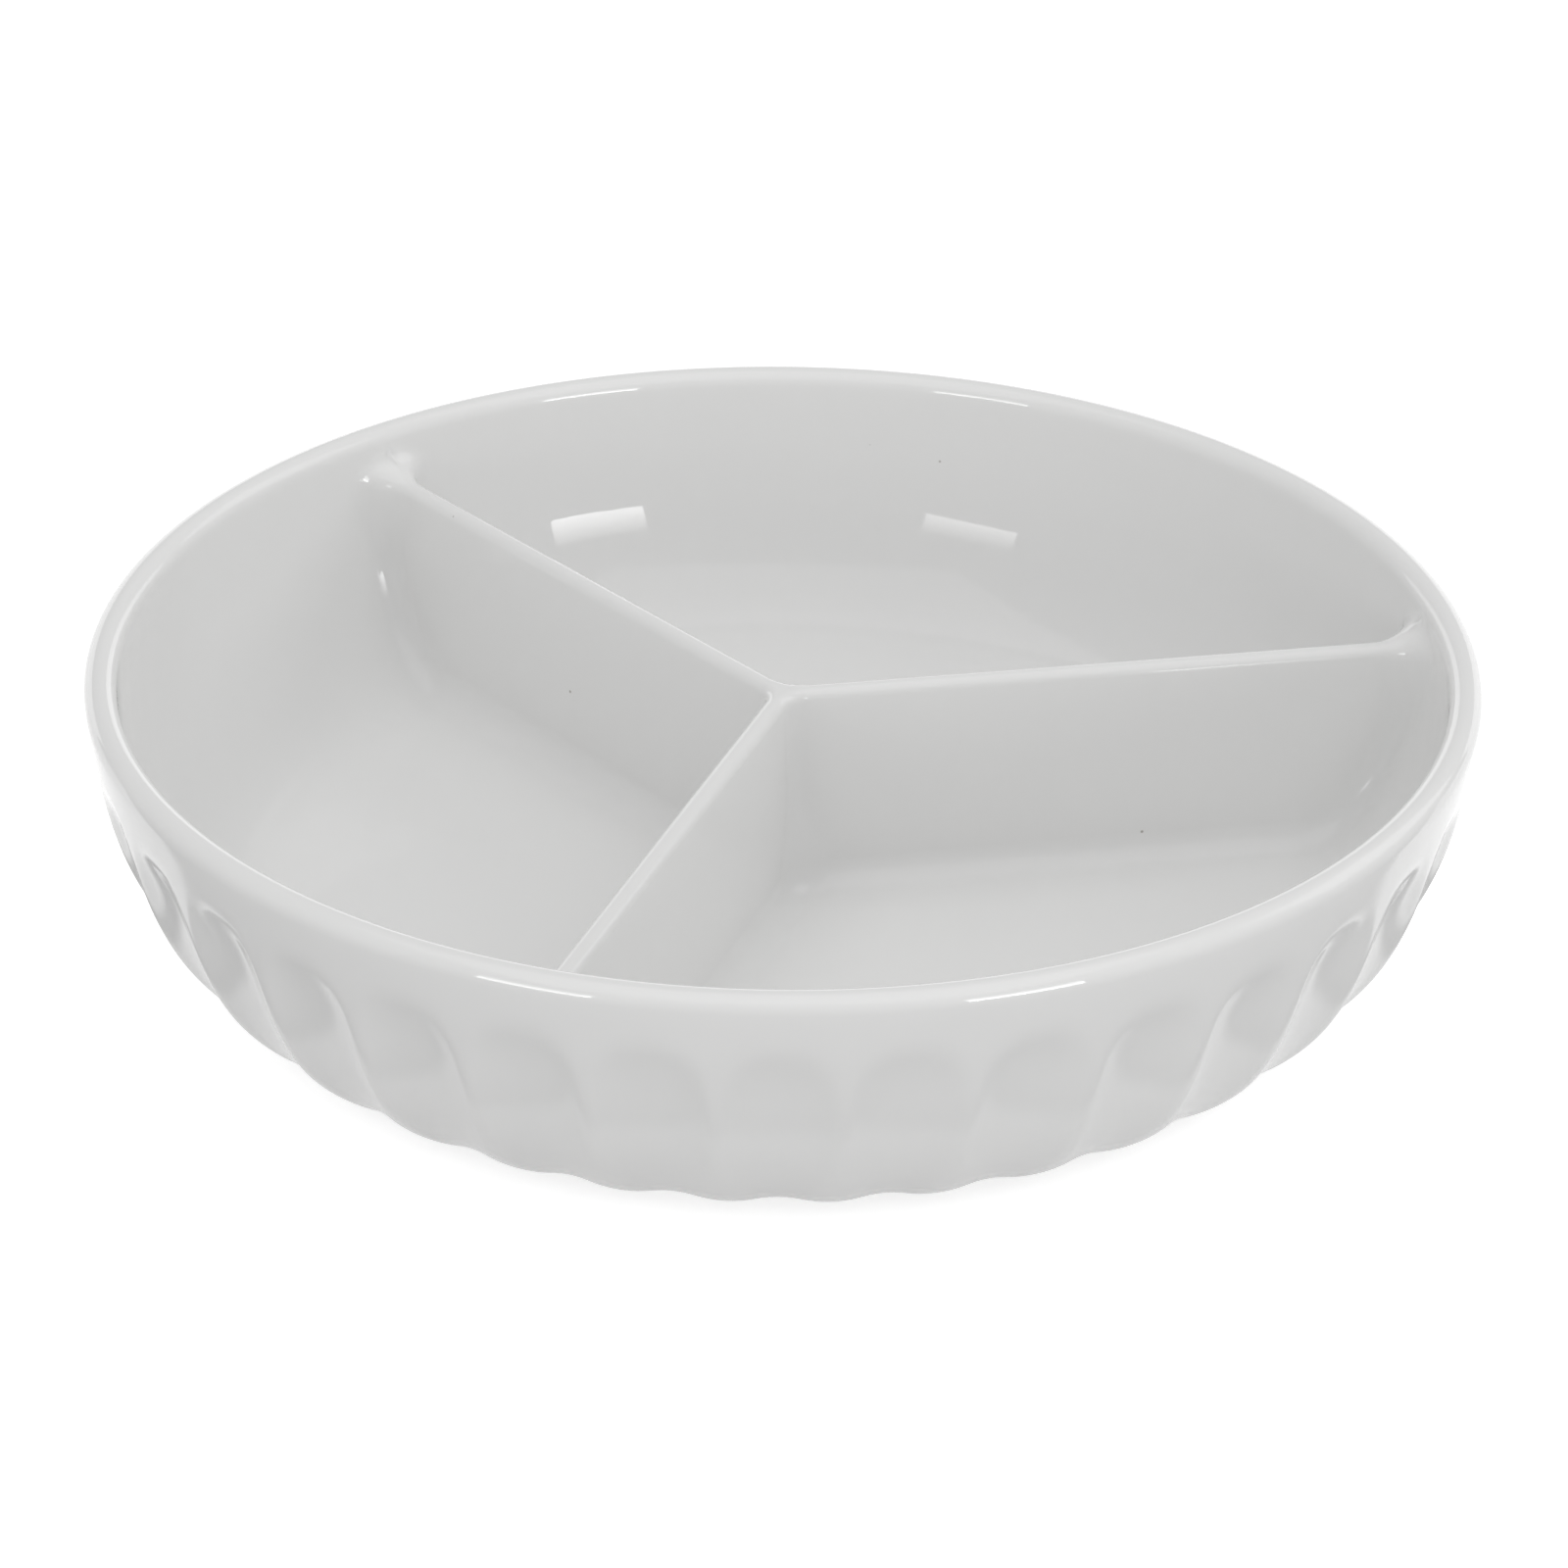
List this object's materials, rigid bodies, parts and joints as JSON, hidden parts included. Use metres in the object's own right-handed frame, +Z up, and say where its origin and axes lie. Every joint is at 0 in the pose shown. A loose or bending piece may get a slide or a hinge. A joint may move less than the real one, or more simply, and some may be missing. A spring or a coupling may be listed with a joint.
{
  "type": "divided cereal bowl",
  "caption": "Shallow round glazed bowl with a fluted outside wall, a plain band under the rim and a Y-shaped divider that keeps portions of food apart",
  "frame": {"origin": "the middle of the foot ring, on the surface that the bowl stands on", "axes": "+Z up out of the bowl's mouth, -Y towards the viewer of the picture, +X to its right"},
  "size_m": [0.2, 0.2, 0.045],
  "materials": {
    "white_glaze": "gloss",
    "bare_clay": "matte"
  },
  "bodies": {
    "root": {"bowl_shell": "white_glaze", "divider_right": "white_glaze", "divider_left": "white_glaze", "divider_front": "white_glaze", "foot_ring": "bare_clay"}
  },
  "joints": []
}
